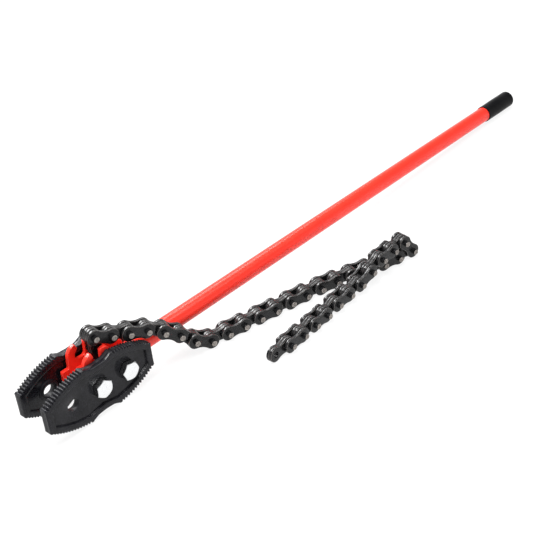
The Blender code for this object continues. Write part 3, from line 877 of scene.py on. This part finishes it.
def link_line(s, steps=10):
    """A plate's outline: an arc about each pin, joined above and below by a hollow arc that touches both.

    With end radius R, waist w and pitch P, the hollow arc's radius is (P^2 / 4 + w^2 - R^2) / (2 (R - w)).
    """
    hollow = (s.pitch**2 / 4 + s.waist**2 - s.radius**2) / (2 * (s.radius - s.waist))
    touch = np.arctan2(s.waist + hollow, s.pitch / 2)
    t = np.linspace(touch, 2 * np.pi - touch, 3 * steps + 1)
    left = s.radius * np.stack([np.cos(t), np.sin(t)], axis=-1)
    dip = np.linspace(touch, np.pi - touch, steps + 1)[1:-1]
    low = np.stack([s.pitch / 2 - hollow * np.cos(dip), -(s.waist + hollow) + hollow * np.sin(dip)], axis=-1)
    right = (s.pitch, 0) - left
    return np.concatenate([left, low, right, (s.pitch, 0) - low])


def link_plate(s, y, hole):
    """One plate about the plane at y: pierced faces, and a rim whose edges are quarter rounds."""
    line = link_line(s)
    half, edge = s.plate / 2, s.edge
    direction = inward(line)
    a = np.linspace(0, np.pi / 2, 4)
    inset = edge * np.concatenate([1 - np.sin(a), 1 - np.cos(a)])
    level = np.concatenate([half - edge * (1 - np.cos(a)), edge - half - edge * np.sin(a)])
    flat = line[None] + direction[None] * inset[:, None, None]
    height = np.broadcast_to((y + level)[:, None, None], (*flat.shape[:2], 1))
    wear = np.array([0.1, 0.85, 0.7, 0.1, 0.1, 0.7, 0.85, 0.1])
    rim = skin(np.concatenate([flat[..., :1], height, flat[..., 1:]], axis=-1), wear=wear)
    lip = 0.4 * MM
    rows = [(hole + lip, y + half), (hole, y + half - lip), (hole, y - half + lip), (hole + lip, y - half)]
    faces = pierced(flat[0], (0.0, s.pitch), rows, (y + half, y - half), (0.1, 0.3, 0.3, 0.1))
    return [rim, *faces]


def link_pin(s, x):
    """A pin turned about y, with broken edges and a centre mark. Its end faces have the second finish."""
    reach, r, shoulder = s.pin_reach, s.pin_radius, s.pin_reach - 0.7 * MM
    side = [(shoulder, r), (reach - 2 * MM, r), (0, r), (-reach + 2 * MM, r), (-shoulder, r)]
    end = [(shoulder, r), (reach - 0.15 * MM, r - 0.5 * MM), (reach, r - 1 * MM)]
    end += [(reach, 2.5 * MM), (reach - 0.5 * MM, 2.0 * MM), (reach - 1.4 * MM, 0)]
    other = [(-y, radius) for y, radius in end]
    wear = np.array([0.9, 0.25, 0.1, 0.25, 0.9])
    skins = [revolved(side, 24, "Y", wear), revolved(end, 24, "Y", 0.0, 1), revolved(other, 24, "Y", 0.0, 1)]
    return [moved(one, x) for one in skins]


class BuildChain(bpy.types.Operator):
    """Build every link of the chain where the frame has it"""

    bl_idname = "wrench.chain"
    bl_label = "Chain"

    def execute(self, context):
        s = context.scene.wrench_chain
        far = s.plate + s.play + s.plate / 2
        thin = s.plate - s.seam / 2
        near = thin / 2 + s.seam / 2
        inner = [*link_plate(s, near, s.hole), *link_plate(s, -near, s.hole)]
        outer = [*link_plate(s, far, s.pin_radius), *link_plate(s, -far, s.pin_radius)]
        outer += [*link_pin(s, 0.0), *link_pin(s, s.pitch)]
        black = [finish("black oxide"), finish("pin steel")]
        pins = [Vector(joint["pos_m"]) for joint in frame["joints"]]
        for number, joint in enumerate(frame["joints"]):
            node = joint["child"]
            centre = middle(node)
            far_pin = pins[number + 1] if number + 1 < len(pins) else 2 * centre - pins[number]
            axes = link_axes(centre, far_pin, s.pitch)
            skins = outer if node.startswith("outer") else inner
            piece(node + "_surface", placed(skins, axes), black, node, node, 38)
        return {"FINISHED"}


def area_lamp(name, place, aim, width, height, power):
    """A rectangular lamp that the camera doesn't see."""
    data = bpy.data.lights.new(name, "AREA")
    data.shape = "RECTANGLE"
    data.size = width
    data.size_y = height
    data.energy = power
    lamp = bpy.data.objects.new(name, data)
    lamp.location = place
    lamp.rotation_euler = (Vector(place) - Vector(aim)).to_track_quat("Z", "Y").to_euler()
    lamp.visible_camera = False
    bpy.context.scene.collection.objects.link(lamp)


def seen_rays(tree, camera=1.0, glossy=1.0):
    """The camera's rays as one value, glossy and transmitted rays as another, and 0 for the rest."""
    path = tree.nodes.new("ShaderNodeLightPath")
    rays = {"Is Camera Ray": camera, "Is Glossy Ray": glossy, "Is Transmission Ray": glossy}
    joined = None
    for ray, value in rays.items():
        share = tree.nodes.new("ShaderNodeMath")
        share.operation = "MULTIPLY"
        tree.links.new(path.outputs[ray], share.inputs[0])
        if isinstance(value, bpy.types.NodeSocket):
            tree.links.new(value, share.inputs[1])
        else:
            share.inputs[1].default_value = value
        if joined is None:
            joined = share.outputs[0]
            continue
        largest = tree.nodes.new("ShaderNodeMath")
        largest.operation = "MAXIMUM"
        tree.links.new(joined, largest.inputs[0])
        tree.links.new(share.outputs[0], largest.inputs[1])
        joined = largest.outputs[0]
    return joined


class BuildStage(bpy.types.Operator):
    """Build the floor, the light and the camera"""

    bl_idname = "wrench.stage"
    bl_label = "Stage"

    def execute(self, context):
        s = context.scene.wrench_stage
        scene = context.scene
        world = bpy.data.worlds.new("studio")
        scene.world = world
        world.use_nodes = True
        tree = world.node_tree
        sky = tree.nodes["Background"]
        sky.inputs["Color"].default_value = (1, 1, 1, 1)
        split = tree.nodes.new("ShaderNodeSeparateXYZ")
        tree.links.new(tree.nodes.new("ShaderNodeTexCoord").outputs["Generated"], split.inputs[0])
        # Reflections see plain white low down and the darker ceiling high up
        backdrop = ramp(tree, split.outputs["Z"], 0.25, 0.6, 1.0, s.ceiling)
        tree.links.new(mixed(tree, seen_rays(tree), s.sky, backdrop, "FLOAT"), sky.inputs["Strength"])

        mesh = bpy.data.meshes.new("floor")
        reach, level = 12.0, -0.2 * MM
        corners = [(reach * x, reach * y, level) for x, y in ((-1, -1), (1, -1), (1, 1), (-1, 1))]
        mesh.from_pydata(corners, [], [(0, 1, 2, 3)])
        floor = bpy.data.objects.new("floor", mesh)
        scene.collection.objects.link(floor)
        made = bpy.data.materials.new("floor")
        made.use_nodes = True
        tree = made.node_tree
        shader = tree.nodes["Principled BSDF"]
        shader.inputs["Base Color"].default_value = (0.9, 0.9, 0.9, 1)
        shader.inputs["Roughness"].default_value = 0.9
        shader.inputs["Specular IOR Level"].default_value = 0.0
        # To the camera and to reflections the floor is mostly plain white, all of it from 3 m out
        light = tree.nodes.new("ShaderNodeEmission")
        light.inputs["Strength"].default_value = 1.0
        mix = tree.nodes.new("ShaderNodeMixShader")
        distance = tree.nodes.new("ShaderNodeVectorMath")
        distance.operation = "LENGTH"
        tree.links.new(tree.nodes.new("ShaderNodeTexCoord").outputs["Object"], distance.inputs[0])
        near = ramp(tree, distance.outputs["Value"], 1.0, 3.0, 0.88, 1.0)
        tree.links.new(seen_rays(tree, near, 0.97), mix.inputs[0])
        tree.links.new(shader.outputs[0], mix.inputs[1])
        tree.links.new(light.outputs[0], mix.inputs[2])
        tree.links.new(mix.outputs[0], tree.nodes["Material Output"].inputs["Surface"])
        mesh.materials.append(made)

        # Place, aim, width and height in metres, and power
        area_lamp("overhead", (0.55, -0.7, 2.4), (0.3, 0, 0), 1.4, 1.0, s.overhead_lamp)
        area_lamp("key", (-0.95, 0.02, 2.1), (-0.6, 0.03, 0), 1.5, 0.8, s.key_lamp)
        area_lamp("back", (0.85, 1.5, 1.7), (0, 0, 0), 1.7, 0.8, s.back_lamp)
        area_lamp("rim", (-0.4, 1.5, 1.6), (0, 0, 0), 1.2, 0.6, s.rim_lamp)

        data = bpy.data.cameras.new("camera")
        data.lens = s.lens
        data.sensor_width = 36
        data.clip_end = 60
        camera = bpy.data.objects.new("camera", data)
        camera.location = s.camera_place
        camera.rotation_euler = Euler([math.radians(a) for a in s.camera_turn], "XYZ")
        scene.collection.objects.link(camera)
        scene.camera = camera
        scene.view_settings.view_transform = "Standard"
        return {"FINISHED"}


class WrenchPanel(bpy.types.Panel):
    """Lists the wrench's builders and its sizes"""

    bl_idname = "VIEW3D_PT_wrench"
    bl_label = "Chain Pipe Wrench"
    bl_space_type = "VIEW_3D"
    bl_region_type = "UI"
    bl_category = "Wrench"

    def draw(self, context):
        for operator in OPERATORS:
            self.layout.operator(operator.bl_idname)
        for name, group in GROUPS.items():
            box = self.layout.box()
            values = getattr(context.scene, name)
            for field in group.__annotations__:
                box.prop(values, field)


OPERATORS = (BuildStage, BuildHandle, BuildJaws, BuildHead, BuildBolts, BuildChain)
GROUPS = {
    "wrench_handle": HandleSizes,
    "wrench_jaws": JawSizes,
    "wrench_head": HeadSizes,
    "wrench_bolts": BoltSizes,
    "wrench_chain": ChainSizes,
    "wrench_finish": FinishColours,
    "wrench_stage": StageSettings,
}


def register():
    for name, group in GROUPS.items():
        bpy.utils.register_class(group)
        setattr(bpy.types.Scene, name, PointerProperty(type=group))
    for operator in OPERATORS:
        bpy.utils.register_class(operator)
    bpy.utils.register_class(WrenchPanel)


def unregister():
    bpy.utils.unregister_class(WrenchPanel)
    for operator in reversed(OPERATORS):
        bpy.utils.unregister_class(operator)
    for name, group in reversed(GROUPS.items()):
        delattr(bpy.types.Scene, name)
        bpy.utils.unregister_class(group)


def main():
    register()
    bpy.ops.wrench.stage()
    bpy.ops.wrench.handle()
    bpy.ops.wrench.jaws()
    bpy.ops.wrench.head()
    bpy.ops.wrench.bolts()
    bpy.ops.wrench.chain()


if __name__ == "__main__":
    main()
